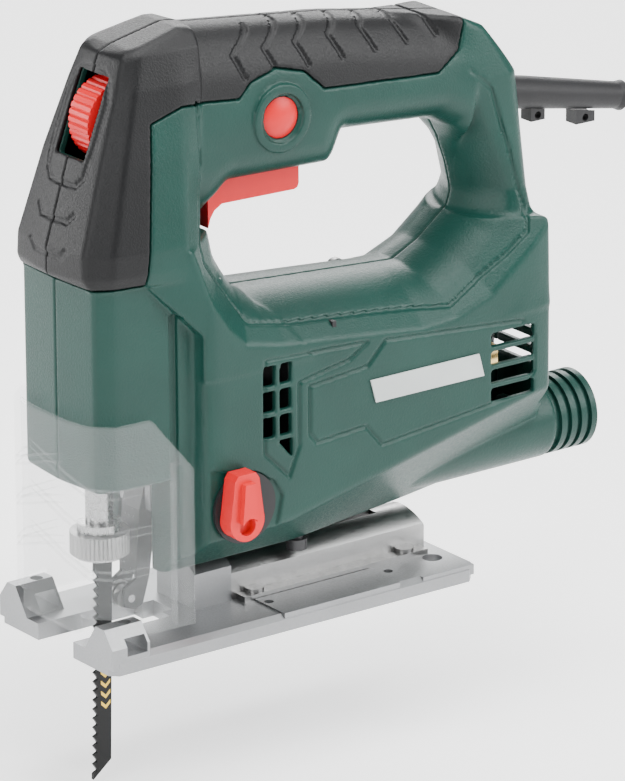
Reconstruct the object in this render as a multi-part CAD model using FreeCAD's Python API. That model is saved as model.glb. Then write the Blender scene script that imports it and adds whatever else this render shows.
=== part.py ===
import FreeCAD, Part
import math
import os

# Top-handle jigsaw, as separate named sub-parts. Millimetres.
# Origin: where the blade's axis crosses the underside of the sole plate.
# +X is the cutting direction, +Y the tool's left side, +Z up along the stroke.

Vector = FreeCAD.Vector
X_AXIS, Y_AXIS, Z_AXIS = Vector(1, 0, 0), Vector(0, 1, 0), Vector(0, 0, 1)

# ---- driving dimensions ----
WALL = 2.4                 # moulded housing wall
GRIP_SKIN = 2.0            # soft overmould thickness
RUNNING_FIT = 0.05         # radial clearance of every shaft in its hole
SAFE_GAP = 0.4             # gap between parts that must not touch

NOSE_FRONT = 15.5          # front of the column above the blade
NOSE_BOTTOM = 54.0         # underside of the column, where the plunger comes out
HOOD_BOTTOM = 118.5        # lower lip of the soft hood
TOP = 191.2                # top of the hood
BODY_FRONT = -19.3         # step from the narrow column to the wide body
BODY_BACK = -155.5
BODY_BOTTOM = 21.0
BODY_HALF = 28.0           # half width of the wide body
COLUMN_HALF = 21.2         # half width of the column beside its front corner

PORT_CENTRE_Z = 36.0       # dust extraction socket
PORT_R = 12.7
BARREL_R = 13.0
PORT_JOINT_X = -168.5
PORT_END_X = -184.7

SLEEVE_ROOT = Vector(-163, 0, 144.3)   # cord bend relief
SLEEVE_TIP = Vector(-202, 0, 136.4)
CABLE_R = 3.6

PLATE_FRONT, PLATE_BACK = 16.8, -121.3
PLATE_HALF = 30.5
PLATE_T = 5.3
BLADE_SLOT_HALF = 9.4
TILT_Z = 5.0               # height of the bevel axis
SADDLE_R = 13.0

ROD_R = 4.3                # reciprocating rod
RING_R, RING_LOW, RING_HIGH = 9.2, 28.0, 35.0
GEAR_Z = 88.0              # drive gear axis
GEAR_MODULE = 0.6
GEAR_TEETH, PINION_TEETH = 55, 8
MOTOR_Z = GEAR_Z - GEAR_MODULE * (GEAR_TEETH + PINION_TEETH) / 2
CRANK_R = 9.0              # half the stroke
SHAFT_R = 2.5

LEVER_X, LEVER_Z = -31.0, 40.5         # orbit selector axis
FORK_X, FORK_Z = -17.0, 44.0           # pendulum fork pivot
ROLLER_X, ROLLER_Z, ROLLER_R = -8.4, 12.0, 4.0
BUTTON_X, BUTTON_Z, BUTTON_R = -57.0, 159.0, 6.4
DIAL_X, DIAL_Z, DIAL_R, DIAL_HALF = -7.6, 164.0, 13.0, 5.0

# Side outline on the centre plane, (x, z), anticlockwise from the lower front.
SIDE = [
    (-13, BODY_BOTTOM), (-13, NOSE_BOTTOM), (NOSE_FRONT, NOSE_BOTTOM), (NOSE_FRONT, HOOD_BOTTOM),
    (18, HOOD_BOTTOM + 2), (18, 129), (9.8, 154.7), (-2, 185.3), (-6.7, 187.2), (-25, TOP),
    (-84, 184.5), (-129, 177.3), (-138, 173), (-151, 157.4), (-152.5, 130), (BODY_BACK, 84),
    (BODY_BACK, PORT_CENTRE_Z + BARREL_R), (PORT_JOINT_X, PORT_CENTRE_Z + BARREL_R),
    (PORT_JOINT_X, PORT_CENTRE_Z - BARREL_R), (-112, BODY_BOTTOM),
]
LOOP = [
    (-38, 128), (-37.6, 120), (-44, 107.3), (-48.4, 104), (-111.4, 99.7), (-121.1, 104.4),
    (-131, 112), (-133, 118), (-129, 136.6), (-126, 142.2), (-119, 145.9), (-84, 148.5),
    (-79, 137.8), (-41, 139.5),
]
GRIP_ZONE = [
    (30, HOOD_BOTTOM), (30, 210), (-131, 210), (-131, 178), (-127, 167), (-118, 161.8),
    (-74, 165), (-67, 171.5), (-57, 174), (-47, 171.5), (-42, 167.2), (-19.5, 169.5),
    (-8.2, 166), (-2, HOOD_BOTTOM),
]
LEVER_SHAFT_R, LEVER_BACK_Y = 3.0, 28.5
DISC_X, DISC_Z, PLATE_DISC_R, DISC_T = -34.5, 42.5, 11.4, 1.3   # dark disc behind the orbit lever
LOCK_SCREW_X, LOCK_SCREW_Y = -66.0, 11.2
LOWER_BUSH_R, UPPER_BUSH_R, HOLDER_R = 7.5, 7.0, 6.2
PIN_R, AXLE_R, CRANK_PIN_R, SPINDLE_R = 1.5, 3.0, 2.5, 2.0
STATOR_R, STATOR_BORE_R, ARMATURE_R = 24.0, 15.6, 15.0
COMMUTATOR_R, FAN_R, REAR_BEARING_R = 9.5, 22.0, 8.0
DUCT_R, DUCT_Z = 9.3, 35.2
PORT_BORE_R, PORT_STOP_R, PORT_RIBS = 10.2, 9.4, 4
SLEEVE_ROOT_R, SLEEVE_TIP_R = 5.25, 4.3
BLADE_T, BLADE_PITCH, BLADE_GULLET = 1.2, 3.0, 1.5
TRIGGER_TOP, SWITCH_BOTTOM = 145.4, 151.2
SPRING_X, SPRING_FLOOR = -56.0, 137.0   # trigger return spring and its pocket
GUARD_T, GUARD_LOW, GUARD_TOP = 1.9, 8.8, 76.5
GROOVE_FLOOR = 20.6
SCREW_R, SCREW_HEAD_R, SCREW_HEAD_Y, SCREW_END_Y = 1.4, 3.0, -10.0, 9.0
VENT_ROWS_Z = (82.5, 74.2, 65.9)
VENT_COLUMNS_X = (-44.2, -50.2)
REAR_VENTS_Z = (76.5, 70.5, 64.5, 58.5)
GRILLE_Z = (80.0, 74.4, 68.8, 63.2)
SCREW_SPOTS = [
    (-15, 131), (-39.5, 99.5), (-98, 96.9), (-148.3, 93), (-141.5, 128), (-76, 176), (-46, 26.4),
]


# ---- shape helpers ----
def box(x0, x1, y0, y1, z0, z1):
    return Part.makeBox(x1 - x0, y1 - y0, z1 - z0, Vector(x0, y0, z0))


def cylinder(radius, start, end):
    run = end - start
    return Part.makeCylinder(radius, run.Length, start, run)


def cone(radius_start, radius_end, start, end):
    run = end - start
    return Part.makeCone(radius_start, radius_end, run.Length, start, run)


def along_x(radius, x0, x1, y=0.0, z=0.0):
    return cylinder(radius, Vector(x0, y, z), Vector(x1, y, z))


def along_y(radius, y0, y1, x=0.0, z=0.0):
    return cylinder(radius, Vector(x, y0, z), Vector(x, y1, z))


def along_z(radius, z0, z1, x=0.0, y=0.0):
    return cylinder(radius, Vector(x, y, z0), Vector(x, y, z1))


def ring_x(outer, inner, x0, x1, y=0.0, z=0.0):
    return along_x(outer, x0, x1, y, z).cut(along_x(inner, x0 - 1, x1 + 1, y, z))


def ring_y(outer, inner, y0, y1, x=0.0, z=0.0):
    return along_y(outer, y0, y1, x, z).cut(along_y(inner, y0 - 1, y1 + 1, x, z))


def ring_z(outer, inner, z0, z1, x=0.0, y=0.0):
    return along_z(outer, z0, z1, x, y).cut(along_z(inner, z0 - 1, z1 + 1, x, y))


def wire(points):
    return Part.makePolygon(points + [points[0]])


def prism_xz(points, y0, y1):
    face = Part.Face(wire([Vector(x, y0, z) for x, z in points]))
    return face.extrude(Vector(0, y1 - y0, 0))


def prism_xy(points, z0, z1):
    face = Part.Face(wire([Vector(x, y, z0) for x, y in points]))
    return face.extrude(Vector(0, 0, z1 - z0))


def prism_yz(points, x0, x1):
    face = Part.Face(wire([Vector(x0, y, z) for y, z in points]))
    return face.extrude(Vector(x1 - x0, 0, 0))


def loft(wires):
    return Part.makeLoft(wires, True, True)


def fuse(shapes):
    result = shapes[0]
    if len(shapes) > 1:
        result = shapes[0].fuse(shapes[1:])
    return result.removeSplitter()


def both_sides(shape):
    return fuse([shape, shape.mirror(Vector(0, 0, 0), Y_AXIS)])


def mirrored(half):
    """A closed (x, y) outline from its +Y half, listed from front to back."""
    return half + [(x, -y) for x, y in reversed(half) if y > 0]


def mirrored_yz(half):
    """A closed (y, z) outline from its +Y half, listed from bottom to top."""
    return half + [(-y, z) for y, z in reversed(half) if y > 0]


def inset(points, amount):
    """The closed outline moved inwards by amount, with mitred corners."""
    count = len(points)
    area = sum(
        points[i][0] * points[(i + 1) % count][1] - points[(i + 1) % count][0] * points[i][1]
        for i in range(count)
    )
    turn = 1 if area > 0 else -1
    lines = []
    for i in range(count):
        (x0, y0), (x1, y1) = points[i], points[(i + 1) % count]
        length = math.hypot(x1 - x0, y1 - y0)
        nx, ny = -turn * (y1 - y0) / length, turn * (x1 - x0) / length
        lines.append((nx, ny, nx * x0 + ny * y0 + amount))
    moved = []
    for i in range(count):
        (a, b, c), (d, e, f) = lines[i - 1], lines[i]
        det = a * e - b * d
        if abs(det) < 1e-9:
            moved.append((points[i][0] + a * amount, points[i][1] + b * amount))
        else:
            moved.append(((c * e - b * f) / det, (a * f - c * d) / det))
    return moved


def save(name, shape):
    shape.exportStep("parts/%s.step" % name)
    solids = len(shape.Solids)
    if not shape.isValid() or solids == 0:
        print("CHECK", name, "valid", shape.isValid(), "solids", solids)
    print("%-18s %d solid(s) %9.1f mm3" % (name, solids, shape.Volume))


# ---- the housing's outer form ----
def column_form(t):
    plan = [(NOSE_FRONT, 0), (13.7, 18.6), (8.3, COLUMN_HALF), (BODY_FRONT, 22.5), (-40, 22.5)]
    return prism_xy(inset(mirrored(plan), t), 15, HOOD_BOTTOM + 0.5)


def leg_form(t):
    """The front leg of the hand loop, flaring outwards behind the hood."""
    plan = [(2, 22), (-16, 26.2), (-23, BODY_HALF), (-46, BODY_HALF)]
    limit = [(-3.5, 124), (-3.5, 117), (-20.5, 99.5), (-20.5, 92), (-46, 92), (-38, 124)]
    return prism_xy(inset(mirrored(plan), t), 90, 126).common(prism_xz(inset(limit, t), -40, 40))


def body_form(t):
    plan = [
        (BODY_FRONT, 22.5), (-21.3, 27), (-24, BODY_HALF), (-148, 27.8), (-153.5, 26.5),
        (BODY_BACK, 22),
    ]
    crown = [(14, 15), (BODY_HALF + 0.6, 29), (BODY_HALF + 0.6, 94.5), (17, 103.5), (14, 112)]
    form = prism_xy(inset(mirrored(plan), t), 15, 112)
    form = form.common(prism_yz(inset(mirrored_yz(crown), t), -170, 0))
    wedge = loft([
        wire([Vector(-56, 12, 10), Vector(-56, 12, 17.5 + t), Vector(-56, 31, 39 + t), Vector(-56, 31, 10)]),
        wire([Vector(-158, 3, 10), Vector(-158, 3, 33 + t), Vector(-158, 31, 62 + t), Vector(-158, 31, 10)]),
    ])
    return form.cut(both_sides(wedge))


def hood_form(t):
    """Raked nose hood: plan sections that narrow towards the top."""
    levels = [
        (HOOD_BOTTOM - 0.5, [(18.5, 0), (14.8, 18.4), (8.6, 22.0), (-16, 26.2), (-25, 20.5), (-40, 20.5)]),
        (122, [(18.5, 0), (16.4, 17.8), (9.4, 23.4), (-16, 26.2), (-25, 20.3), (-40, 20.3)]),
        (129, [(18.5, 0), (16.3, 17.3), (9.0, 23.4), (-16, 26.0), (-25, 19.8), (-40, 19.8)]),
        (154.7, [(10.5, 0), (8, 15), (2.5, 20.3), (-18.5, 21.8), (-26.5, 18), (-40, 18)]),
        (176, [(3, 0), (0, 12.5), (-4, 16.4), (-21, 18), (-28, 17), (-40, 17)]),
        (186, [(-1, 0), (-3.5, 10.5), (-8, 13.4), (-22, 14.6), (-29, 14.4), (-40, 14.4)]),
        (TOP + 1, [(-5, 0), (-7, 7.5), (-12, 9), (-26, 9.6), (-30, 9.6), (-40, 9.6)]),
    ]
    wires = []
    for z, half in levels:
        wires.append(wire([Vector(x, y, z) for x, y in inset(mirrored(half), t)]))
    return loft(wires)


def handle_form(t):
    stations = [
        (-24, [(13.5, 134), (17.8, 140), (17.6, 172), (14.0, 183), (7, 190.5)]),
        (-84, [(13.5, 134), (17.2, 139), (17.2, 168), (13.2, 179), (6.5, 185)]),
        (-132, [(11, 134), (16, 140), (16.8, 160), (12.2, 171.5), (6, 177.5)]),
    ]
    wires = []
    for x, half in stations:
        wires.append(wire([Vector(x, y, z) for y, z in inset(mirrored_yz(half), t)]))
    return loft(wires)


def spine_form(t):
    """Rear leg of the hand loop, narrowing from the body up to the handle."""
    levels = [
        (84, [(-112, 10), (-136, 27.6), (-153.6, 26.8), (BODY_BACK, 21)]),
        (103, [(-120, 9), (-141, 23.2), (-153, 22.0), (BODY_BACK, 16)]),
        (120, [(-121, 8), (-145.5, 18.8), (-151.6, 17.8), (-154, 11)]),
        (157, [(-115, 10), (-131, 16.9), (-148, 15.6), (-152, 9)]),
        (180, [(-115, 7), (-128, 12.6), (-136, 11.6), (-141, 6)]),
    ]
    wires = []
    for z, half in levels:
        wires.append(wire([Vector(x, y, z) for x, y in inset(mirrored(half), t)]))
    return loft(wires)


def envelope(t):
    """The closed form of the whole housing, moved inwards by t."""
    side = prism_xz(inset(SIDE, t), -40, 40).cut(prism_xz(inset(LOOP, -t), -41, 41))
    barrel = along_x(BARREL_R - t, -100, PORT_JOINT_X - 1, 0, PORT_CENTRE_Z)
    forms = (column_form, leg_form, body_form, hood_form, handle_form, spine_form)
    widths = fuse([form(t) for form in forms] + [barrel])
    keel_half = [(14, BODY_BOTTOM), (32, BODY_BOTTOM + 17.5), (32, 200)]
    keel = prism_yz(inset(mirrored_yz(keel_half), t), -200, 30)
    return side.common(widths).common(keel)


def sleeve_point(distance):
    """A point on the cord's axis, measured outwards from the sleeve's root."""
    direction = (SLEEVE_TIP - SLEEVE_ROOT).normalize()
    return SLEEVE_ROOT + direction * distance


def housing_openings():
    cuts = [
        along_z(12.5, NOSE_BOTTOM - 2, NOSE_BOTTOM + 6),
        box(-25, -10, -8.5, 8.5, 18, NOSE_BOTTOM + 3),
        box(-71.6, -35.4, -7.6, 7.6, 123.6, 150),
        along_y(BUTTON_R + 0.1, 5, 25, BUTTON_X, BUTTON_Z),
        cylinder(5.6, sleeve_point(-18), sleeve_point(2)),
        cylinder(7.2, sleeve_point(-20), sleeve_point(-11.8)),
        along_x(BARREL_R - 1.2, -158, PORT_JOINT_X - 2, 0, PORT_CENTRE_Z),
        along_y(LEVER_SHAFT_R + RUNNING_FIT, 18, 32, LEVER_X, LEVER_Z),
        along_y(PLATE_DISC_R, BODY_HALF - DISC_T, 32, DISC_X, DISC_Z),
        along_z(2.0, 15, 31, LOCK_SCREW_X, LOCK_SCREW_Y),
    ]
    window = box(-8, 8, -7.4, 7.4, -13, 13)
    window.rotate(Vector(0, 0, 0), Y_AXIS, -21.1)
    window.translate(Vector(6.5, 0, 168.2))
    cuts.append(window)
    slots = [box(-14.3, -11.2, GROOVE_FLOOR, 30, NOSE_BOTTOM - 40, 107)]
    for x in VENT_COLUMNS_X:
        slots += [box(x - 2.2, x + 2.2, 20, 30, z - 3.3, z + 3.3) for z in VENT_ROWS_Z]
    slots.append(prism_xz([(-52.4, 60.8), (-52.4, 55.6), (-48.0, 60.8)], 20, 30))
    slots += [box(-146.5, -129.5, 20, 30, z - 2.2, z + 2.2) for z in REAR_VENTS_Z]
    for slot in slots:
        cuts += [slot, slot.mirror(Vector(0, 0, 0), Y_AXIS)]
    for z in GRILLE_Z:
        cuts.append(box(BODY_BACK - 3, BODY_BACK + 4, -17, 17, z - 1.4, z + 1.4))
    return cuts


def inner_ribs(inner):
    """Plates inside the shell that hold the motor's stator and its rear bearing."""
    ribs = [box(x, x + 2.0, -30, 30, 20, 105) for x in (-112, -86)]
    stator_ribs = Part.makeCompound(ribs).cut(along_x(STATOR_R + RUNNING_FIT, -120, -70, 0, MOTOR_Z))
    bridge = box(-146, -141, -30, 30, MOTOR_Z - 2, MOTOR_Z + 2)
    bearing_seat = bridge.fuse(along_x(10.5, -146, -141, 0, MOTOR_Z))
    bearing_seat = bearing_seat.cut(along_x(REAR_BEARING_R, -150, -130, 0, MOTOR_Z))
    duct = along_x(DUCT_R + SAFE_GAP, -160, -60, 0, DUCT_Z)
    return [part.common(inner).cut(duct) for part in (stator_ribs, bearing_seat)]


def housing_and_grips():
    """Both hard halves and both soft skins."""
    zone = prism_xz(GRIP_ZONE, -40, 40)
    outer, under_skin = envelope(0), envelope(GRIP_SKIN)
    inner, deep = envelope(WALL), envelope(GRIP_SKIN + WALL)
    shell = outer.cut(inner).cut(zone)
    covered = under_skin.cut(deep).common(zone)
    boss = cylinder(8.2, sleeve_point(-12), sleeve_point(0))
    collar = ring_y(10.6, 7.6, 14, 18.2, BUTTON_X, BUTTON_Z)
    seat = along_y(10.6, 14, 16.4, BUTTON_X, BUTTON_Z)
    whole = under_skin.fuse(outer.cut(zone))
    bosses = Part.makeCompound([along_y(3.6, -30, 30, x, z) for x, z in SCREW_SPOTS]).common(whole)
    lock_boss = along_z(4.5, BODY_BOTTOM + 0.5, 27, LOCK_SCREW_X, LOCK_SCREW_Y)
    hard = fuse([shell, covered, boss, collar, seat, bosses, lock_boss] + inner_ribs(inner))
    skin = outer.cut(under_skin).common(zone).cut(along_y(10.6, 10, 30, BUTTON_X, BUTTON_Z))
    shanks = [along_y(SCREW_R, -30, SCREW_END_Y, x, z) for x, z in SCREW_SPOTS]
    heads = [along_y(SCREW_HEAD_R, -40, SCREW_HEAD_Y, x, z) for x, z in SCREW_SPOTS]
    for cut in housing_openings() + heads:
        hard = hard.cut(cut)
        skin = skin.cut(cut)
    hard = hard.cut(Part.makeCompound(shanks))
    left, right = box(-250, 50, 0, 60, -50, 250), box(-250, 50, -60, 0, -50, 250)
    return {
        "housing_left": hard.common(left), "housing_right": hard.common(right),
        "grip_left": skin.common(left), "grip_right": skin.common(right),
    }


def housing_fittings():
    screws = []
    for x, z in SCREW_SPOTS:
        shank = along_y(SCREW_R, SCREW_HEAD_Y, SCREW_END_Y, x, z)
        head = along_y(SCREW_HEAD_R - 0.1, SCREW_HEAD_Y - 2.2, SCREW_HEAD_Y, x, z)
        socket = along_y(1.2, SCREW_HEAD_Y - 3, SCREW_HEAD_Y - 1, x, z)
        screws.append(shank.fuse(head).cut(socket))
    port = along_x(BARREL_R - 1.2, -158, PORT_JOINT_X, 0, PORT_CENTRE_Z)
    port = port.fuse(along_x(PORT_R - 1.3, PORT_JOINT_X, PORT_END_X, 0, PORT_CENTRE_Z))
    pitch = (PORT_JOINT_X - PORT_END_X) / PORT_RIBS
    for i in range(PORT_RIBS):
        start = PORT_JOINT_X - pitch * i - 1.4
        port = port.fuse(along_x(PORT_R, start, start - pitch * 0.55, 0, PORT_CENTRE_Z))
    port = port.cut(along_x(PORT_BORE_R, PORT_JOINT_X, -200, 0, PORT_CENTRE_Z))
    port = port.cut(along_x(PORT_STOP_R, -150, -200, 0, PORT_CENTRE_Z))
    badge = prism_xz([(-84, 66), (-82, 73.5), (-124, 73.5), (-126, 66)], BODY_HALF, BODY_HALF + 0.5)
    disc = along_y(PLATE_DISC_R - 0.1, BODY_HALF - DISC_T, BODY_HALF + 0.1, DISC_X, DISC_Z)
    disc = disc.cut(along_y(LEVER_SHAFT_R + RUNNING_FIT, 20, 32, LEVER_X, LEVER_Z))
    lock_screw = along_z(2.0, BODY_BOTTOM, 30, LOCK_SCREW_X, LOCK_SCREW_Y)
    lock_screw = lock_screw.fuse(along_z(3.3, 17.6, BODY_BOTTOM, LOCK_SCREW_X, LOCK_SCREW_Y))
    lock_screw = lock_screw.cut(along_z(1.5, 16, 19, LOCK_SCREW_X, LOCK_SCREW_Y))
    return {
        "housing_screws": Part.makeCompound(screws), "dust_port": port.removeSplitter(),
        "side_badge": badge, "orbit_plate": disc, "bevel_lock_screw": lock_screw,
    }


def cord_fittings():
    length = (SLEEVE_TIP - SLEEVE_ROOT).Length
    sleeve = cone(SLEEVE_ROOT_R, SLEEVE_TIP_R, sleeve_point(0), sleeve_point(length))
    sleeve = sleeve.fuse(cylinder(SLEEVE_ROOT_R, sleeve_point(-14), sleeve_point(0)))
    sleeve = sleeve.fuse(cylinder(7.0, sleeve_point(-14.6), sleeve_point(-12.2)))
    sleeve = sleeve.fuse(cone(SLEEVE_TIP_R, 4.9, sleeve_point(length - 2.4), sleeve_point(length)))
    sleeve = sleeve.cut(cylinder(CABLE_R, sleeve_point(-16), sleeve_point(length + 1)))
    clips = []
    for start, end, drop in ((1.5, 7.0, 8.6), (20.0, 27.5, 8.9)):
        low = sleeve_point((start + end) / 2)
        half = (end - start) / 2
        block = box(low.x - half, low.x + half, -2.6, 2.6, low.z - drop, low.z)
        hole = along_y(1.2, -4, 4, low.x, low.z - drop + 1.8)
        solid = cylinder(SLEEVE_ROOT_R, sleeve_point(-2), sleeve_point(length))
        clips.append(block.cut(hole).cut(solid))
    clamp = box(-138, -131, -9.5, 9.5, 152, 155.5)
    clamp = clamp.cut(along_x(CABLE_R, -140, -129, 0, 151.5))
    return {
        "cord_sleeve": sleeve.removeSplitter(), "hex_key_clips": Part.makeCompound(clips),
        "cord_clamp": clamp,
    }


# ---- drive train ----
def toothed(teeth, x0, x1, z, phase):
    """A spur gear with straight-flanked teeth, thinned for backlash."""
    pitch_r = GEAR_MODULE * teeth / 2
    tip_r, root_r = pitch_r + 0.8 * GEAR_MODULE, pitch_r - 1.05 * GEAR_MODULE
    step = 2 * math.pi / teeth
    corners = ((-0.32, root_r), (-0.10, tip_r), (0.10, tip_r), (0.32, root_r))
    outline = []
    for i in range(teeth):
        for share, radius in corners:
            angle = phase + (i + share) * step
            outline.append((radius * math.cos(angle), z + radius * math.sin(angle)))
    return prism_yz(outline, x0, x1)


def drive_train():
    up, down = math.pi / 2, -math.pi / 2
    pinion = toothed(PINION_TEETH, -15.5, -30, MOTOR_Z, up)
    shaft = along_x(SHAFT_R, -30, -148, 0, MOTOR_Z).fuse(pinion)
    gear = toothed(GEAR_TEETH, -24, -16, GEAR_Z, down + math.pi / GEAR_TEETH)
    gear = gear.fuse(along_x(6.0, -29.6, -24, 0, GEAR_Z))
    gear = gear.cut(along_x(AXLE_R + RUNNING_FIT, -35, -10, 0, GEAR_Z))
    recess = ring_x(13.6, 6.0, -17.6, -10, 0, GEAR_Z)
    recess = recess.cut(along_x(4.0, -20, -10, -CRANK_R, GEAR_Z))
    gear = gear.cut(recess)
    axle = along_x(AXLE_R, -34, -15.6, 0, GEAR_Z).fuse(along_x(4.4, -15.6, -14.4, 0, GEAR_Z))
    pin = along_x(CRANK_PIN_R, -16, -10.4, -CRANK_R, GEAR_Z)

    core = along_x(ARMATURE_R, -80, -116, 0, MOTOR_Z)
    for i in range(12):
        slot = box(-117, -79, -0.9, 0.9, MOTOR_Z + 10, MOTOR_Z + 16)
        slot.rotate(Vector(0, 0, MOTOR_Z), X_AXIS, 30 * i + 15)
        core = core.cut(slot)
    core = core.cut(along_x(SHAFT_R, -70, -120, 0, MOTOR_Z))
    windings = Part.makeCompound([
        ring_x(12.6, SHAFT_R, -80, -74.4, 0, MOTOR_Z), ring_x(12.6, SHAFT_R, -121.4, -116, 0, MOTOR_Z),
    ])
    commutator = ring_x(COMMUTATOR_R, SHAFT_R, -138, -125, 0, MOTOR_Z)
    for i in range(24):
        slit = box(-137.5, -124, -0.25, 0.25, MOTOR_Z + 8.9, MOTOR_Z + 12)
        slit.rotate(Vector(0, 0, MOTOR_Z), X_AXIS, 15 * i)
        commutator = commutator.cut(slit)

    fan = ring_x(FAN_R, SHAFT_R, -60, -58.4, 0, MOTOR_Z)
    fan = fan.fuse(ring_x(6.5, SHAFT_R, -68, -58.4, 0, MOTOR_Z))
    blades = []
    for i in range(14):
        blade = box(-67, -59, -0.7, 0.7, MOTOR_Z + 6, MOTOR_Z + FAN_R - 0.4)
        blade.rotate(Vector(0, 0, MOTOR_Z), X_AXIS, 360 / 14 * i)
        blades.append(blade)
    fan = fuse([fan] + blades)
    return {
        "armature_shaft": shaft.removeSplitter(), "armature_core": core,
        "armature_windings": windings, "commutator": commutator, "fan": fan,
        "drive_gear": gear, "gear_axle": axle, "crank_pin": pin,
    }


def motor_fixed_parts():
    pole_band = ring_x(20.5, STATOR_BORE_R, -118, -78, 0, MOTOR_Z)
    poles = pole_band.common(box(-118, -78, -10, 10, MOTOR_Z - 21, MOTOR_Z + 21))
    stator = ring_x(STATOR_R, 20, -118, -78, 0, MOTOR_Z).fuse(poles).removeSplitter()
    coils = ring_x(19.6, 16.2, -124, -72, 0, MOTOR_Z)
    coils = coils.common(box(-124, -72, -20, 20, MOTOR_Z - 10.2, MOTOR_Z + 10.2))
    holders, carbons = [], []
    for side in (1, -1):
        carbon = box(-134.5, -129, -2.2, 2.2, COMMUTATOR_R + 0.3, 20)
        holder = box(-136, -127.5, -3.4, 3.4, 11.5, 22.5).cut(box(-134.5, -129, -2.2, 2.2, 9, 21.5))
        for piece, group in ((carbon, carbons), (holder, holders)):
            piece.rotate(Vector(0, 0, 0), X_AXIS, -90 * side)
            piece.translate(Vector(0, 0, MOTOR_Z))
            group.append(piece)
    front = ring_x(9.5, SHAFT_R + RUNNING_FIT, -50, -43, 0, MOTOR_Z)
    front = front.cut(ring_x(7.6, 4.4, -51, -49.2, 0, MOTOR_Z))
    rear = ring_x(REAR_BEARING_R, SHAFT_R + RUNNING_FIT, -146, -141, 0, MOTOR_Z)
    rear = rear.cut(ring_x(6.6, 4.2, -141.6, -140, 0, MOTOR_Z))
    baffle = box(-71.4, -70, -25, 25, 45, 94).common(envelope(WALL + 0.1))
    baffle = baffle.cut(along_x(18, -75, -65, 0, MOTOR_Z))
    duct = ring_x(DUCT_R, DUCT_R - 1.2, -157.6, -62, 0, DUCT_Z)
    return {
        "stator_core": stator, "field_coils": coils, "brush_holders": Part.makeCompound(holders),
        "carbon_brushes": Part.makeCompound(carbons), "front_bearing": front, "rear_bearing": rear,
        "fan_baffle": baffle, "dust_duct": duct,
    }


def gear_housing():
    """The cast frame that holds the bushes, the gear axle, the front bearing and the fork."""
    case = fuse([
        box(-34, -30, -17, 17, 54, 113),
        along_x(12, -50, -34, 0, MOTOR_Z),
        box(-34, 8, -11, 11, 56.8, 61.5), along_z(10.8, 56.8, 62.6),
        box(-34, 7, -8.5, 8.5, 109, 113), along_z(9.6, 109, 120),
        box(-21, -13.4, 5.2, 8.0, 40.2, 57), box(-21, -13.4, -8.0, -5.2, 40.2, 57),
    ])
    for hole in (
        along_x(9.5, -51, -43, 0, MOTOR_Z), along_x(5.5, -52, -20, 0, MOTOR_Z),
        along_x(AXLE_R, -36, -20, 0, GEAR_Z), along_z(LOWER_BUSH_R, 50, 65),
        along_z(UPPER_BUSH_R, 112, 125), along_z(ROD_R + 1, 100, 125),
        along_y(PIN_R, -10, 10, FORK_X, FORK_Z),
    ):
        case = case.cut(hole)
    return case


def plunger_parts():
    rod = along_z(ROD_R, 27, 128).cut(box(-3.4, 3.4, -0.75, 0.75, 20, 51))
    yoke = box(-10, -6, -16.5, 16.5, GEAR_Z - 8, GEAR_Z + 8)
    yoke = yoke.cut(box(-11, -5, -12.6, 12.6, GEAR_Z - 3.1, GEAR_Z + 3.1))
    yoke = yoke.fuse(along_z(7.2, GEAR_Z - 8, GEAR_Z + 8)).cut(along_z(ROD_R, 70, 110))
    holder = fuse([
        ring_z(HOLDER_R, ROD_R, 27, 38), ring_z(7.8, ROD_R, 27, RING_LOW - SAFE_GAP),
        ring_z(6.9, ROD_R, RING_HIGH + SAFE_GAP, 38),
    ])
    outline = []
    ridges = 40
    for i in range(ridges):
        for share, radius in ((0.0, RING_R - 0.35), (0.3, RING_R), (0.7, RING_R)):
            angle = 2 * math.pi * (i + share) / ridges
            outline.append((radius * math.cos(angle), radius * math.sin(angle)))
    ring = prism_xy(outline, RING_LOW, RING_HIGH)
    ring = ring.cut(along_z(HOLDER_R + RUNNING_FIT, RING_LOW - 1, RING_HIGH + 1))
    return {
        "plunger_rod": rod, "yoke_plate": yoke, "blade_holder": holder,
        "saw_blade": saw_blade(), "clamp_ring": ring,
        "lower_bush": ring_z(LOWER_BUSH_R, ROD_R + RUNNING_FIT, 55, 62.6),
        "upper_bush": ring_z(UPPER_BUSH_R, ROD_R + RUNNING_FIT, 113, 120),
    }


def saw_blade():
    top_edge, tip = (2.3, 25.5), (4.1, -46.0)
    outline = [(-3.2, 50), (-3.2, 26.5), (-4.1, 25.5), (-2.6, -40.5), tip]
    slope = (tip[0] - top_edge[0]) / (tip[1] - top_edge[1])
    z = -44.0
    while z < 20:
        edge = top_edge[0] + (z - top_edge[1]) * slope
        outline += [(edge, z), (edge - BLADE_GULLET, z + 0.7), (edge - BLADE_GULLET + 0.2, z + 1.2)]
        z += BLADE_PITCH
    outline += [(top_edge[0] + 0.1, z), top_edge, (3.2, 26.5), (3.2, 50)]
    return prism_xz(outline, -BLADE_T / 2, BLADE_T / 2)


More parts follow.
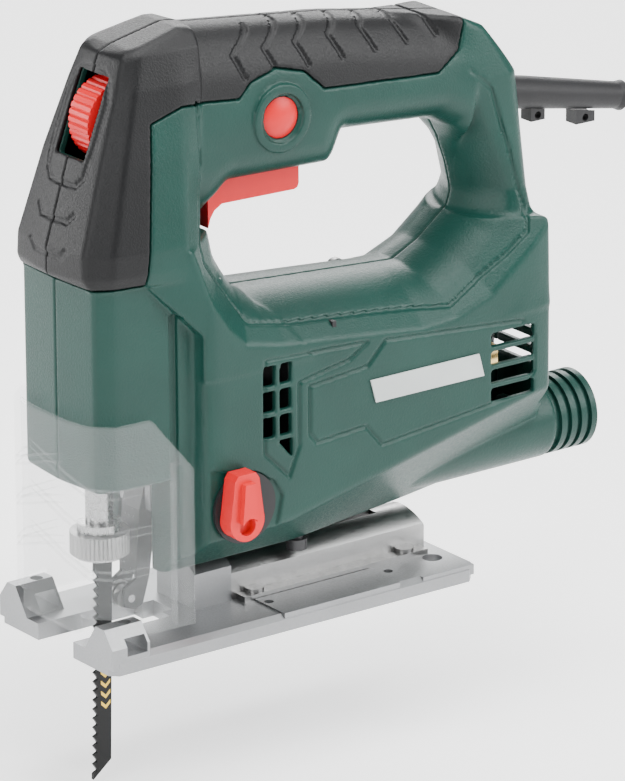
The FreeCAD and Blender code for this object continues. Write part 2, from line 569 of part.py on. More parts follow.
def pendulum_parts():
    outline = [
        (-21.5, 47.5), (-13.5, 47.5), (-11.6, 40), (-10.4, 26), (-10.3, 18.2), (-5.8, 15.4),
        (-5.8, 9.6), (-9.5, 8.2), (-12.5, 9.5), (-15, 18), (-17, 32), (-21.5, 39.5),
        (-24.5, 40), (-24.5, 44),
    ]
    fork = prism_xz(outline, -4.6, 4.6)
    fork = fork.cut(box(-16, -4, -3.2, 3.2, 5, 19))
    fork = fork.cut(along_y(PIN_R + RUNNING_FIT, -6, 6, FORK_X, FORK_Z))
    fork = fork.cut(along_y(1.25, -6, 6, ROLLER_X, ROLLER_Z))
    roller = ring_y(ROLLER_R, 1.25 + RUNNING_FIT, -2.8, 2.8, ROLLER_X, ROLLER_Z)
    roller = roller.cut(ring_y(ROLLER_R + 1, ROLLER_R - 0.7, -0.9, 0.9, ROLLER_X, ROLLER_Z))
    return {
        "roller_fork": fork, "guide_roller": roller,
        "roller_pin": along_y(1.25, -4.6, 4.6, ROLLER_X, ROLLER_Z),
        "fork_pin": along_y(PIN_R, -8.3, 8.3, FORK_X, FORK_Z),
    }


# ---- controls ----
def coil_spring(radius, wire_r, start, axis, length, turns):
    helix = Part.makeHelix(length / turns, length, radius)
    profile = Part.Wire(Part.makeCircle(wire_r, Vector(radius, 0, 0), Y_AXIS))
    solid = Part.Wire(helix).makePipeShell([profile], True, True)
    turn = FreeCAD.Rotation(Z_AXIS, axis)
    solid.Placement = FreeCAD.Placement(start, turn)
    return solid


def orbit_control():
    hub = along_y(6.3, LEVER_BACK_Y, 34, LEVER_X, LEVER_Z)
    paddle = [(-6.3, 0), (-4.5, 13.4), (-3.2, 15.2), (3.2, 15.2), (4.5, 13.4), (6.3, 0)]
    ridge = [(-3.0, 0), (-1.9, 12.5), (1.9, 12.5), (3.0, 0)]
    for profile, inner_y, outer_y in ((paddle, LEVER_BACK_Y, 34), (ridge, 33, 36)):
        placed = [(LEVER_X + dx, LEVER_Z + dz) for dx, dz in profile]
        hub = hub.fuse(prism_xz(placed, inner_y, outer_y))
    lever = hub.cut(along_y(3.0, 31.5, 40, LEVER_X, LEVER_Z - 1.5))
    shaft = along_y(LEVER_SHAFT_R, -6, LEVER_BACK_Y, LEVER_X, LEVER_Z)
    cam = along_y(4.2, -4.2, 4.2, LEVER_X, LEVER_Z + 1.0)
    cam = cam.cut(along_y(LEVER_SHAFT_R, -10, 10, LEVER_X, LEVER_Z))
    return {"orbit_lever": lever.fuse(shaft).removeSplitter(), "orbit_cam": cam}


def switch_parts():
    outline = [
        (-36.6, TRIGGER_TOP), (-36.8, 125.5), (-37.6, 128.4), (-39.2, 130.8), (-42, 132.4),
        (-69, 131.9), (-70.3, 132.4), (-70.8, 133.7), (-70.8, TRIGGER_TOP),
    ]
    trigger = prism_xz(outline, -7.0, 7.0)
    trigger = trigger.cut(along_z(3.4, SPRING_FLOOR, 150, SPRING_X))
    switch = box(-74, -38, -8.5, 8.5, SWITCH_BOTTOM, 165.5)
    switch = switch.fuse(box(-82, -74, -5, 5, 153, 158)).removeSplitter()
    button = along_y(BUTTON_R, 13, 16.6, BUTTON_X, BUTTON_Z)
    dome = Part.makeSphere(13.0, Vector(BUTTON_X, 18.2 - 13.0, BUTTON_Z))
    button = along_y(BUTTON_R, 13, 19, BUTTON_X, BUTTON_Z).common(dome)
    button = button.fuse(along_y(7.4, 12.3, 13.8, BUTTON_X, BUTTON_Z)).removeSplitter()
    return {
        "trigger": trigger, "switch_module": switch, "lock_button": button,
        "trigger_spring": coil_spring(
            2.6, 0.35, Vector(SPRING_X, 0, SPRING_FLOOR + 0.4), Z_AXIS,
            SWITCH_BOTTOM - SPRING_FLOOR - 0.8, 6),
        "lock_spring": coil_spring(
            3.0, 0.25, Vector(BUTTON_X, 8.8, BUTTON_Z), Y_AXIS, 3.3, 3),
        "capacitor": along_x(6.0, -108, -88, 0, 159),
    }


def speed_control():
    outline = []
    ridges = 36
    for i in range(ridges):
        for share, radius in ((0.0, DIAL_R - 0.5), (0.25, DIAL_R), (0.75, DIAL_R)):
            angle = 2 * math.pi * (i + share) / ridges
            outline.append((DIAL_X + radius * math.cos(angle), DIAL_Z + radius * math.sin(angle)))
    wheel = prism_xz(outline, -DIAL_HALF, DIAL_HALF)
    wheel = wheel.cut(along_y(SPINDLE_R, -10, 10, DIAL_X, DIAL_Z))
    arm = box(-29, DIAL_X + 4, 6.2, 8.2, DIAL_Z - 4, DIAL_Z + 4)
    arms = arm.fuse(arm.mirror(Vector(0, 0, 0), Y_AXIS))
    bracket = arms.fuse(box(-31, -29, -8.2, 8.2, DIAL_Z - 10, DIAL_Z + 10))
    bracket = bracket.cut(along_y(SPINDLE_R + RUNNING_FIT, -12, 12, DIAL_X, DIAL_Z))
    return {
        "speed_dial": wheel, "dial_spindle": along_y(SPINDLE_R, -8.8, 8.8, DIAL_X, DIAL_Z),
        "speed_controller": bracket.removeSplitter(),
    }


# ---- guard and sole plate ----
def guard():
    outer = [(19.5, 0), (19.4, 9), (17.6, 19), (10.8, 25.6), (-16.6, 26.6)]
    wall = inset(mirrored(outer), GUARD_T)
    inner = [(x, y) for x, y in wall if x > 0]
    inner = [point for point in inner if point[1] >= -0.01]
    inner_half = inner + [(-30, inner[-1][1] + 1.4)]
    shield = prism_xy(mirrored(outer), GUARD_LOW, GUARD_TOP)
    shield = shield.cut(prism_xy(mirrored(inner_half), 0, 90))
    notch = [(-2, 90), (-2, GUARD_TOP), (-17.2, 58), (-30, 58), (-30, 90)]
    shield = shield.cut(prism_xz(notch, -40, 40))
    shield = shield.cut(box(2.2, 30, 14.6, 40, 0, 15.6)).cut(box(2.2, 30, -40, -14.6, 0, 15.6))
    shield = shield.cut(box(0, 30, -14.7, 14.7, 0, GUARD_LOW + 1.3))
    for side in (1, -1):
        inner_y, outer_y = GROOVE_FLOOR + SAFE_GAP, 24.9
        low, high = sorted((side * inner_y, side * outer_y))
        shield = shield.fuse(box(-13.9, -11.6, low, high, GUARD_LOW, 60))
    return shield.removeSplitter()


def sole_parts():
    rim = [(PLATE_HALF, 0), (PLATE_HALF, 3.9), (28.2, PLATE_T)]
    plate = prism_yz(mirrored_yz(rim), PLATE_BACK, PLATE_FRONT)
    corner = 2.5
    outline = [
        (PLATE_FRONT, PLATE_HALF - corner), (PLATE_FRONT - corner, PLATE_HALF),
        (PLATE_BACK + corner, PLATE_HALF), (PLATE_BACK, PLATE_HALF - corner),
    ]
    plate = plate.common(prism_xy(mirrored(outline), -1, 20))
    panel = box(-91.9, -47.6, 14.5, PLATE_HALF - 0.4, 2, PLATE_T + 0.5)
    tail = box(PLATE_BACK + 0.4, -101, 14.5, PLATE_HALF - 0.4, 2, PLATE_T)
    block = prism_yz([(15.5, 2), (15.5, PLATE_T), (21.5, 14), (26, 14), (30.3, 8.5), (30.3, 2)],
                     3, PLATE_FRONT)
    window = box(3.9, 11.3, 10, 40, 5.6, 10.8)
    block = block.cut(window).cut(along_z(2.0, 9, 16, 7.6, 23.5))
    plate = plate.cut(window).cut(window.mirror(Vector(0, 0, 0), Y_AXIS))
    plate = fuse([plate, both_sides(panel), both_sides(tail), both_sides(block)])
    slot = box(-19, 30, -BLADE_SLOT_HALF, BLADE_SLOT_HALF, -1, 20)
    plate = plate.cut(slot).cut(box(-23, 30, -5, 5, -1, 20))
    screws = []
    for side in (1, -1):
        plate = plate.cut(along_z(3.2, -1, 10, -114, side * 17.7))
        for x in (-49.8, -95.8):
            plate = plate.cut(along_z(1.5, -1, 10, x, side * 18.8))
        for x in (-50, -108):
            screw = along_z(1.6, 0.1, 7.1, x, side * 11)
            screw = screw.fuse(cone(3.0, 1.6, Vector(x, side * 11, 0.1), Vector(x, side * 11, 1.6)))
            screw = screw.fuse(along_z(3.0, 7.1, 8.4, x, side * 11)).removeSplitter()
            screws.append(screw)
    shanks = Part.makeCompound(screws)
    plate = plate.cut(shanks)

    shell = ring_x(SADDLE_R, SADDLE_R - 1.6, -117, -42, 0, TILT_Z)
    shell = shell.common(box(-117, -42, -9.5, 9.5, 11.0, 30))
    wall = box(-117, -42, 7.9, 9.5, PLATE_T, 13.6)
    flange = box(-115, -44, 7.9, 14.2, PLATE_T, 7.1)
    saddle = fuse([shell, both_sides(wall), both_sides(flange)]).cut(shanks)
    saddle = saddle.cut(box(-104, -88, -1.8, 1.8, 15, 25)).common(
        prism_xz([(-42, 0), (-42, 30), (-111, 30), (-117, 13), (-117, 0)], -20, 20))
    core = along_x(15.4, -41.9, -28, 0, TILT_Z).common(box(-41.9, -28, -10, 10, PLATE_T, 30))
    core = core.cut(along_x(5, -45, -38, 0, 9))
    return {
        "base_plate": plate.removeSplitter(), "bevel_saddle": saddle, "bevel_core": core,
        "plate_screws": shanks,
    }


os.makedirs("parts", exist_ok=True)
nodes = {"gear_housing": gear_housing(), "guard": guard()}
for group in (
    drive_train, motor_fixed_parts, plunger_parts, pendulum_parts, orbit_control, switch_parts,
    speed_control, sole_parts, cord_fittings, housing_fittings, housing_and_grips,
):
    nodes.update(group())
for node, solid in sorted(nodes.items()):
    save(node, solid)
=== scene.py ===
import math

import bpy
import numpy as np
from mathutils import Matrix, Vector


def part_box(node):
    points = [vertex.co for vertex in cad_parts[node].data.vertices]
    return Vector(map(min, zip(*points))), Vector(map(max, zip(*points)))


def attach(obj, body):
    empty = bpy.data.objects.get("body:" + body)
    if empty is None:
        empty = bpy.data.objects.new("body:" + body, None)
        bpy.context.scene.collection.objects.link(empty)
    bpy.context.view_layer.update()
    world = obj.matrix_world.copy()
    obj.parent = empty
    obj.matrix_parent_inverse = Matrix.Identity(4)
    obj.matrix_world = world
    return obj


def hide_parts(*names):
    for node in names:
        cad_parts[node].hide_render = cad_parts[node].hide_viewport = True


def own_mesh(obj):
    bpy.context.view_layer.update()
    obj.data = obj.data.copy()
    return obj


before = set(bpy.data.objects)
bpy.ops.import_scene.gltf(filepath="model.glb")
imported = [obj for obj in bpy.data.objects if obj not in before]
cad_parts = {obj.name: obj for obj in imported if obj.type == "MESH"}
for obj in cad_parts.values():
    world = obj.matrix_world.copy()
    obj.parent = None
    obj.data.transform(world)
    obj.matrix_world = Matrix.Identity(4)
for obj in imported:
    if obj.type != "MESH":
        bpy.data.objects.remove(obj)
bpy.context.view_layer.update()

import openvdb
from mathutils import Matrix, Vector

MM = 0.001

# ---- sizes and outlines of the moulded parts, in millimetres ----
VOXEL = 0.5
BAND = 2.5                      # how far from a surface the meshed field is kept
FIELD_LIMIT = 8                 # how far from a surface the form's field is kept
WALL, SKIN = 2.4, 2.0           # thickness of the hard shell and of the soft grip
GAP = 0.25                      # half of the line between shell and grip
BODY_Y = 28                     # half the body's width
HOOD_BOTTOM = 118
VENT_Y = 20                     # the side vents are cut outward from here
PORT_Z, PORT_END, PORT_R, PORT_SOCKET_R = 36, -168.5, 13, 11.8
BUTTON_X, BUTTON_Z, BUTTON_R = -57, 159, 6.5
COLLAR_R, COLLAR_BORE_R = 10.6, 7.6
LEVER_X, LEVER_Z, LEVER_BORE_R = -31, 40.5, 3.05
DISC_X, DISC_Z, DISC_R = -34.5, 42.5, 11.4
DIAL_X, DIAL_Z, DIAL_TILT = 6.5, 168.2, math.radians(21.1)
SLEEVE_ROOT, SLEEVE_TIP = Vector((-163, 0, 144.3)), Vector((-202, 0, 136.4))
CABLE_AXIS = (SLEEVE_TIP - SLEEVE_ROOT).normalized()
MIDDLE = Vector((-70, 0, 90))   # a point well inside the housing

# Outlines seen from the side, as (x, z).
SIDE = [
    (-13, 21), (-13, 54), (15.5, 54), (15.5, 118.5), (18, 120.5), (18, 129), (9.8, 154.7), (-2, 185.3),
    (-6.7, 187.2), (-25, 191.2), (-84, 184.5), (-129, 177.3), (-138, 173), (-151, 157.4), (-152.5, 130),
    (-155.5, 84), (-155.5, 49), (-168.5, 49), (-168.5, 23), (-112, 21),
]
LOOP = [
    (-38, 128), (-37.6, 120), (-44, 107.3), (-48.4, 104), (-111.4, 99.7), (-121.1, 104.4), (-131, 112),
    (-133, 118), (-129, 136.6), (-126, 142.2), (-119, 145.9), (-84, 148.5), (-79, 137.8), (-41, 139.5),
]
LEG = [(-3.5, 127), (-3.5, 117), (-20.5, 99.5), (-20.5, 85), (-60, 85), (-36, 127)]
GRIP_ZONE = [
    (30, 118.5), (30, 210), (-131, 210), (-131, 178), (-127, 167), (-118, 161.8), (-74, 165),
    (-67, 171.5), (-57, 174), (-47, 171.5), (-42, 167.2), (-19.5, 169.5), (-8.2, 166), (-2, 118.5),
]
RIDGE = [
    (-15, 128), (-23, 109), (-29.6, 99.8), (-35.6, 94.1), (-50, 91.2), (-79, 88.2), (-102.9, 85.5),
    (-116, 86.5), (-130, 91.5), (-146, 104), (-175, 125), (-175, 0), (25, 0), (25, 128),
]
VENT_FRAME = [
    (-55.2, 58), (-51.3, 48.9), (-42.1, 58.1), (-42.4, 87.8), (-81.3, 85.9), (-74.2, 81.7), (-55.3, 78.3),
    (-55.2, 58),
]
PANEL_FRAME = [
    (-59.2, 60.8), (-59.2, 76.1), (-81.3, 78.2), (-88.1, 85.2), (-141.8, 80.7), (-146.8, 74.9),
    (-146.9, 63.3), (-141.6, 56.9), (-86.9, 51.5), (-80.5, 58.9), (-62, 57.5), (-59.2, 60.8),
]
LEVER_RECESS = [
    (-18, 57.5), (-22.3, 57), (-28.3, 55), (-39.7, 52.2), (-45.8, 48.9), (-48.9, 43.6), (-48.1, 39.8),
    (-46, 30), (-40, 16), (-18, 16),
]
CREASE = [
    (-25.3, 169.7), (-26.2, 151.2), (-24.2, 138.9), (-23.5, 126.2), (-24.0, 120.7), (-32.5, 110),
    (-40, 98.8), (-54.5, 96), (-83.5, 93.2), (-110.7, 90.2), (-115.5, 89.9), (-126.1, 95.1),
    (-137.4, 102), (-145.8, 108), (-148.6, 114.5), (-144, 134), (-137.9, 153.6), (-130, 161), (-60, 170),
]
GRIP_SLOTS = [[(x, 173), (x + 3.0, 180), (x - 6.0, 186)] for x in (-45, -57, -69, -82, -95, -108, -120)]
FRONT_VENTS = [(x, z) for x in (-44.2, -50.2) for z in (82.5, 74.2, 65.9)]
CORNER_VENT = [(-52.4, 60.8), (-52.4, 55.6), (-48.0, 60.8)]
REAR_VENTS = (76.5, 70.5, 64.5, 58.5)
TAIL_SLOTS = (80.0, 74.4, 68.8, 63.2)

# Outlines seen from above, as (x, y).
COLUMN_PLAN = [(15.5, 0), (13.7, 18.6), (8.3, 21.2), (-19.3, 22.5), (-40, 22.5)]
BODY_PLAN = [
    (-19.3, 10), (-19.3, 22.5), (-21.3, 27), (-24, BODY_Y), (-148, 27.8), (-153.5, 26.5), (-155.5, 22),
]
LEG_PLAN = [(2, 22), (-16, 26.2), (-23, BODY_Y), (-46, BODY_Y)]

# Marks on the nose seen from the front, as (y, z).
NOSE_MARKS = [[(-1, z), (6.5, z), (9, z + 2.6)] for z in (147.5, 137, 126.5)]
DIAL_FIELD = [(9.5, 152), (10.5, 160), (10.3, 172), (8.2, 178), (5, 180.5), (-3, 181)]

# Sections of lofts: a height with its (x, y) corners, or for the handle an x with its (y, z) corners.
HOOD = [
    (118, [(18.5, 0), (14.8, 18.4), (8.6, 22.0), (-16, 26.2), (-25, 20.5), (-26, 0)]),
    (122, [(18.5, 0), (16.4, 17.8), (9.4, 23.4), (-16, 26.2), (-25, 20.3), (-26, 0)]),
    (129, [(18.5, 0), (16.3, 17.3), (9.0, 23.4), (-16, 26.0), (-25, 19.8), (-26, 0)]),
    (154.7, [(10.5, 0), (8, 15), (2.5, 20.3), (-18.5, 21.8), (-26.5, 18), (-28, 0)]),
    (176, [(3, 0), (0, 12.5), (-4, 16.4), (-21, 18), (-28, 17), (-30, 0)]),
    (186, [(-1, 0), (-3.5, 10.5), (-8, 13.4), (-22, 14.6), (-29, 14.4), (-31, 0)]),
    (192, [(-5, 0), (-7, 7.5), (-12, 9), (-26, 9.6), (-30, 9.6), (-32, 0)]),
]
SPINE = [
    (84, [(-112, 10), (-136, 27.6), (-153.6, 26.8), (-155.5, 21)]),
    (103, [(-120, 9), (-141, 23.2), (-153, 22.0), (-155.5, 16)]),
    (120, [(-121, 8), (-145.5, 18.8), (-151.6, 17.8), (-154, 11)]),
    (157, [(-115, 10), (-131, 16.9), (-148, 15.6), (-152, 9)]),
    (180, [(-115, 7), (-128, 12.6), (-136, 11.6), (-141, 6)]),
]
HANDLE_REAR, HANDLE_FRONT = -132, -24
HANDLE = [
    (HANDLE_REAR, [(9, 132), (16, 140), (16.8, 160), (12.2, 171.5), (6, 177.5), (0, 178.2)]),
    (-84, [(11, 134), (17.2, 141), (17.2, 168), (13.2, 179), (6.5, 185), (0, 185.6)]),
    (HANDLE_FRONT, [(11, 134), (17.6, 141), (17.6, 172), (14.0, 183), (7, 190.5), (0, 191.2)]),
]

# ---- sizes of the small pieces, in millimetres; travel is in metres ----
SPRINGS = (
    # node, joint, axis, wire radius, turns, direction, travel
    ("trigger_spring", "trigger_pull", "Z", 0.35, 6, (0, 0, 1), 0.005),
    ("lock_spring", "lock_press", "Y", 0.25, 3, (0, 1, 0), 0.0016),
)
COIL_STEPS = 16
GUARD_PLAN = [(19.0, -9), (19.1, 0), (18.9, 9), (17.2, 19), (10.6, 25.1), (-2, 25.6)]
BEAD_FALL = (0, 2.5, 5.5, 9.0, 9.5, 9.5)
BEAD_TOP, BEAD_PITCH, BEAD_GAP, BEAD_R = 66, 13, 2.4, 0.45
CHEVRON = [(-2.6, 0.9), (-0.9, -0.7), (0.8, 0.9), (0.8, -0.3), (-0.9, -1.9), (-2.6, -0.3)]
CHEVRON_TOP, CHEVRON_PITCH, CHEVRON_THICKNESS = -11.5, 3.4, 0.04

# ---- looks ----
SPECULAR_LEVEL = 0.22
FINISHES = {
    "hard_green": dict(colour=(0.005, 0.033, 0.0255), roughness=0.38, scale=1500, depth=0.2),
    "soft_grip": dict(colour=(0.004, 0.0042, 0.0047), roughness=0.46, scale=1700, depth=0.2),
    "control_red": dict(colour=(0.55, 0.008, 0.012), roughness=0.36, scale=1500, depth=0.02),
    "cast_aluminium": dict(colour=(0.24, 0.245, 0.25), roughness=0.42, metallic=0.9, scale=1500, depth=0.06,
                           spread=0.05),
    "zinc_steel": dict(colour=(0.30, 0.30, 0.298), roughness=0.36, metallic=1.0, spread=0.05),
    "blade_black": dict(colour=(0.008, 0.0082, 0.0085), roughness=0.38, metallic=0.2, depth=0.02),
    "steel": dict(colour=(0.38, 0.38, 0.38), roughness=0.26, metallic=1.0, depth=0.02, spread=0.05),
    "dark_steel": dict(colour=(0.045, 0.045, 0.047), roughness=0.35, metallic=0.6),
    "sintered_bronze": dict(colour=(0.36, 0.22, 0.10), roughness=0.45, metallic=1.0, scale=1500),
    "laminations": dict(colour=(0.22, 0.22, 0.23), roughness=0.40, metallic=0.9, scale=60, depth=0.10,
                        spread=0.1, stretch=(40, 1, 1)),
    "copper": dict(colour=(0.72, 0.30, 0.15), roughness=0.32, metallic=0.9, scale=60, depth=0.15,
                   spread=0.1, stretch=(1, 30, 30)),
    "brass": dict(colour=(0.72, 0.52, 0.22), roughness=0.30, metallic=1.0, depth=0.02),
    "carbon": dict(colour=(0.03, 0.03, 0.032), roughness=0.55, scale=1800, depth=0.05),
    "black_plastic": dict(colour=(0.014, 0.014, 0.015), roughness=0.42, scale=1500, depth=0.04),
    "yellow_plastic": dict(colour=(0.75, 0.50, 0.06), roughness=0.40, depth=0.02),
    "rubber": dict(colour=(0.012, 0.012, 0.013), roughness=0.50, scale=1700, depth=0.05),
    "white_print": dict(colour=(0.40, 0.43, 0.42), roughness=0.40, scale=1500, depth=0.02),
    "clear_guard": dict(colour=(0.42, 0.44, 0.44), roughness=0.06, scale=60, depth=0.02, spread=0.02,
                        rough_spread=0.02),
}
GUARD_SPECULAR, GUARD_ALPHA, GUARD_IOR = 0.6, 0.09, 1.5
FLOOR_REACH, FLOOR_GAP, FLOOR_GLOW = 6, 0.002, 0.4
WORLD_STRENGTH = 0.15
LIGHT_TARGET = (-0.07, 0, 0.1)
LIGHTS = (
    # name, place and size in metres, power in watts
    ("rear_box", (-0.9, 0.9, 0.7), (0.9, 0.9), 26),
    ("front_box", (1.0, 0.5, 0.5), (0.7, 0.9), 12),
    ("top_box", (-0.1, 0.2, 1.2), (1.2, 1.2), 38),
    ("nose_box", (0.95, -1.05, 0.35), (0.8, 0.9), 22),
    ("back_box", (-0.9, -1.2, 0.8), (1.2, 0.7), 26),
)
CAMERA_TURN, CAMERA_RISE, CAMERA_ROLL = math.radians(36.4855), math.radians(19.0087), math.radians(-0.2787)
CAMERA_RIGHT, CAMERA_UP, CAMERA_BACK = 64.56, 75.31, 1934.55    # along the camera's own axes
CAMERA_LENS, CAMERA_REACH = 291.8, 50

# ---- distance fields over the +Y half; the other half is its mirror ----
xs = np.arange(-172, 21.5, VOXEL, np.float32)
ys = np.arange(-3, 31.5, VOXEL, np.float32)
zs = np.arange(14, 195, VOXEL, np.float32)
X, Y, Z = xs[:, None, None], ys[None, :, None], zs[None, None, :]


def both(a, b, rounding=0.0):
    """Where two forms overlap, with the edge between them rounded."""
    if rounding == 0:
        return np.maximum(a, b)
    corner = np.hypot(np.maximum(a + rounding, 0), np.maximum(b + rounding, 0))
    return np.minimum(-rounding, np.maximum(a, b)) + corner


def either(a, b, rounding=0.0):
    """Two forms joined, with a fillet."""
    return -both(-a, -b, rounding)


def chain(u, v, corners, rounding=0.0):
    """Inside of a convex run of straight edges; corners may vary along the third axis."""
    field = None
    for (u0, v0), (u1, v1) in zip(corners, corners[1:]):
        length = np.hypot(u1 - u0, v1 - v0)
        side = ((u - u0) * (v1 - v0) - (v - v0) * (u1 - u0)) / length
        field = side if field is None else both(field, side, rounding)
    return field


def lofted(u, v, w, levels, rounding=0.0):
    """A chain whose corners slide between the levels (position, corners) along w."""
    at = [level[0] for level in levels]
    flat = w.ravel()
    corners = []
    for i in range(len(levels[0][1])):
        pair = []
        for axis in (0, 1):
            values = np.interp(flat, at, [level[1][i][axis] for level in levels])
            pair.append(values.astype(np.float32).reshape(w.shape))
        corners.append(tuple(pair))
    return chain(u, v, corners, rounding)


def path(u, v, points):
    """Distance to a line through the points."""
    nearest = np.full(np.broadcast(u, v).shape, 1e9, np.float32)
    for (u0, v0), (u1, v1) in zip(points, points[1:]):
        du, dv = u1 - u0, v1 - v0
        t = np.clip(((u - u0) * du + (v - v0) * dv) / (du * du + dv * dv), 0, 1)
        nearest = np.minimum(nearest, np.hypot(u - u0 - t * du, v - v0 - t * dv))
    return nearest.astype(np.float32)


def outline(u, v, points):
    """Signed distance to a closed outline, negative inside."""
    inside = np.zeros(np.broadcast(u, v).shape, bool)
    closed = points + points[:1]
    for (u0, v0), (u1, v1) in zip(closed, closed[1:]):
        if v1 != v0:
            inside ^= ((v0 > v) != (v1 > v)) & (u < u0 + (v - v0) * (u1 - u0) / (v1 - v0))
    nearest = path(u, v, closed)
    return np.where(inside, -nearest, nearest).astype(np.float32)


def facet(a, b, c):
    """The half space bounded by a plane through three points, on the side of the housing's middle."""
    a, b, c = Vector(a), Vector(b), Vector(c)
    normal = (b - a).cross(c - a).normalized()
    if normal.dot(MIDDLE - a) > 0:
        normal = -normal
    return X * normal.x + Y * normal.y + Z * normal.z - normal.dot(a)


def slab(u, v, u0, u1, v0, v1, rounding=0.0):
    """A rectangle with rounded corners."""
    a = np.abs(u - (u0 + u1) / 2) - (u1 - u0) / 2
    b = np.abs(v - (v0 + v1) / 2) - (v1 - v0) / 2
    return both(a, b, rounding)


def disc(x, z, radius):
    """A circle seen from the side."""
    return np.hypot(X - x, Z - z) - radius


def rod(start, end, radius):
    """A round bar between two points."""
    start, run = Vector(start), Vector(end) - Vector(start)
    length = run.length
    run.normalize()
    along = (X - start.x) * run.x + (Y - start.y) * run.y + (Z - start.z) * run.z
    apart = (X - start.x) ** 2 + (Y - start.y) ** 2 + (Z - start.z) ** 2
    off = np.sqrt(np.maximum(apart - along ** 2, 0))
    return both(off - radius, np.abs(along - length / 2) - length / 2)


def softened(field):
    """The field blurred a little, which rounds every edge."""
    for axis in range(3):
        layers = np.moveaxis(field, axis, 0)
        layers[1:-1] = (layers[:-2] + layers[1:-1] + layers[2:]) / 3
    return field


# ---- the housing ----
def envelope():
    """The closed outer form of the housing with its soft grips."""
    loop = outline(X, Z, LOOP)
    beyond = -outline(X, Z, CREASE)         # the rounding towards the loop ends at the crease

    column = chain(X, Y, COLUMN_PLAN, 0.8)
    column = both(column, both(Z - 119, -24 - X))

    strip = (Y - BODY_Y + np.maximum(outline(X, Z, RIDGE), -4)) / math.sqrt(2)
    body_sharp = both(chain(X, Y, BODY_PLAN, 1), strip, 0.6)
    body = np.minimum(both(body_sharp, -loop, 7.5), np.maximum(body_sharp, beyond))
    body = both(body, Z - 112)
    body = both(body, facet((-56, 12, 17.5), (-56, 31, 39), (-158, 31, 62)), 0.8)

    leg = both(chain(X, Y, LEG_PLAN), outline(X, Z, LEG))
    leg = both(leg, strip, 0.6)
    leg = np.minimum(both(leg, -loop, 7), np.maximum(leg, beyond))

    hood = both(lofted(X, Y, Z, HOOD, 0.6), HOOD_BOTTOM - Z)
    hood = both(hood, -loop, 9)

    handle = lofted(Y, Z, X, HANDLE, 5)
    handle = both(both(handle, -loop, 11), np.maximum(HANDLE_REAR - X, X - HANDLE_FRONT))

    spine = both(lofted(X, Y, Z, SPINE, 3), 84 - Z)
    spine = np.minimum(both(spine, -loop, 19), np.maximum(spine, beyond))

    form = np.minimum(column, leg)
    form = either(form, body, 0.6)
    form = np.minimum(form, hood)
    form = either(form, handle, 1.0)
    form = either(form, spine, 2.0)
    form = np.minimum(form, rod((-100, 0, PORT_Z), (PORT_END, 0, PORT_Z), PORT_R))
    form = either(form, rod(SLEEVE_ROOT - CABLE_AXIS * 12, SLEEVE_ROOT, 8.2), 1.0)
    form = np.maximum(form, -loop)
    keel = chain(Y, Z, [(0, 21), (14, 21), (32, 38.5), (32, 200)], 2)
    form = both(both(form, keel), outline(X, Z, SIDE), 2.0)
    return softened(np.clip(form, -FIELD_LIMIT, FIELD_LIMIT))


def openings(field):
    """The field without the holes, slots and engraved lines that both halves share."""
    along = (X - DIAL_X) * math.cos(DIAL_TILT) + (Z - DIAL_Z) * math.sin(DIAL_TILT)
    up = (Z - DIAL_Z) * math.cos(DIAL_TILT) - (X - DIAL_X) * math.sin(DIAL_TILT)
    frames = np.minimum(path(X, Z, VENT_FRAME), path(X, Z, PANEL_FRAME)) - 0.45
    crease = path(X, Z, CREASE[:-1]) - 0.5
    cuts = {
        "plunger_mouth": both(np.hypot(X, Y) - 12.5, np.abs(Z - 56) - 4),
        "fork_slot": both(slab(X, Z, -25, -10, 18, 57), np.abs(Y) - 8.5),
        "trigger_slot": both(slab(X, Z, -71.6, -35.4, 123.6, 150), np.abs(Y) - 7.6),
        "cable_hole": rod(SLEEVE_ROOT - CABLE_AXIS * 18, SLEEVE_ROOT + CABLE_AXIS * 2, 5.6),
        "port_socket": rod((-158, 0, PORT_Z), (-172, 0, PORT_Z), PORT_SOCKET_R),
        "guard_groove": both(slab(X, Z, -14.3, -11.2, 14, 107, 0.5), 20.6 - Y),
        "dial_window": both(slab(along, up, -8, 8, -13, 13), np.abs(Y) - 7.4),
        "corner_vent": both(outline(X, Z, CORNER_VENT) - 0.3, VENT_Y - Y),
        "frames": both(frames, -(field + 0.7)),
        "crease": both(crease, np.maximum(-(field + 0.55), 13 - Y)),
        "lever_recess": both(outline(X, Z, LEVER_RECESS), 27 - Y, 0.3),
    }
    for x, z in FRONT_VENTS:
        cuts[x, z] = both(slab(X, Z, x - 2.2, x + 2.2, z - 3.3, z + 3.3, 0.6), VENT_Y - Y)
    for z in REAR_VENTS:
        cuts["rear", z] = both(slab(X, Z, -146.5, -129.5, z - 2.2, z + 2.2, 0.6), VENT_Y - Y)
    for z in TAIL_SLOTS:
        cuts["tail", z] = both(slab(X, Z, -160, -151.5, z - 1.4, z + 1.4), Y - 17)
    for cut in cuts.values():
        field = np.maximum(field, -cut)
    return field


def solid(name, points, triangles):
    """A smooth mesh object from points in millimetres."""
    mesh = bpy.data.meshes.new(name)
    mesh.from_pydata((points * MM).tolist(), [], triangles.tolist())
    mesh.validate()
    mesh.shade_smooth()
    obj = bpy.data.objects.new(name, mesh)
    bpy.context.scene.collection.objects.link(obj)
    return obj


